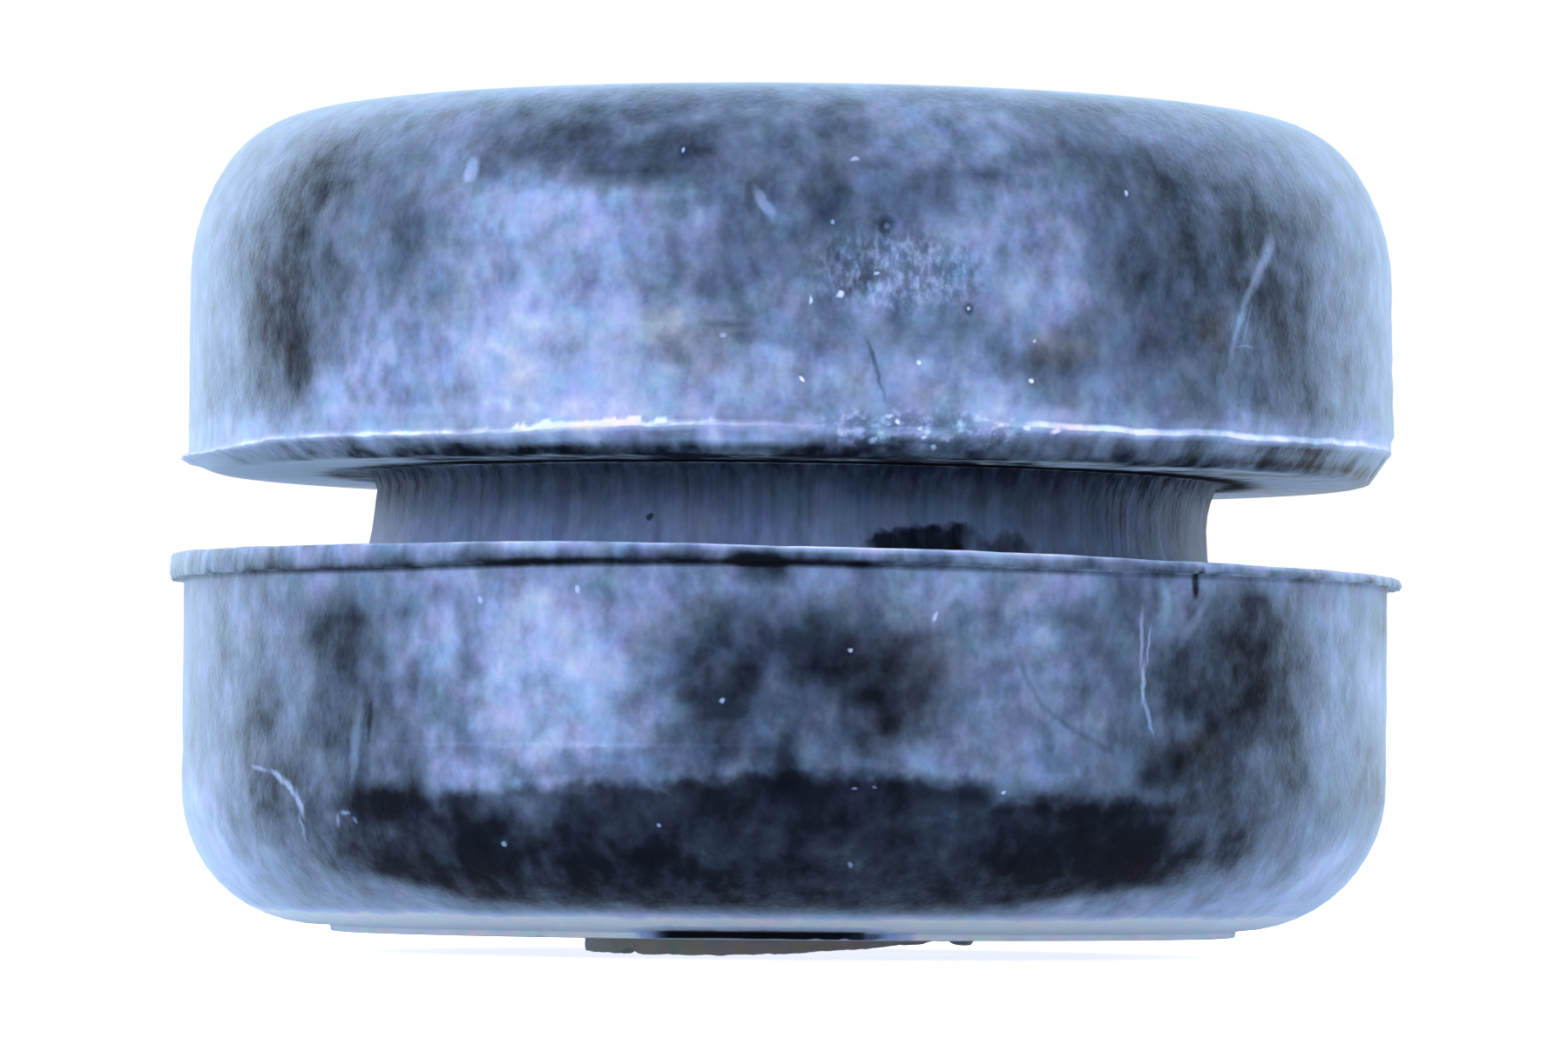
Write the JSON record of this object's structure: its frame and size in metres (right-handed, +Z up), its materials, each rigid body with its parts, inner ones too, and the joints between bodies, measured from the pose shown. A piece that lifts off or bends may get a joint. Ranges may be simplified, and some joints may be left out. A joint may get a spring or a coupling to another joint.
{
  "type": "stabilizer link bushing",
  "caption": "One-piece solid rubber bushing with two round lobes, a narrow annular groove between them and a plain through bore for a link bolt.",
  "frame": {"origin": "on the bore axis, level with the lowest point of the torn collar that the bushing stands on", "axes": "+Z up along the bore axis, towards the end with the whole flat face; -X is the side where the moulding flash is thickest"},
  "size_m": [0.0348, 0.0348, 0.0236],
  "materials": {
    "bloomed_rubber": "weathered black rubber with a matt blue-grey bloom, darker greasy patches and a soft sheen at grazing angles"
  },
  "bodies": {
    "root": {"rubber_bushing": "bloomed_rubber"}
  },
  "joints": []
}
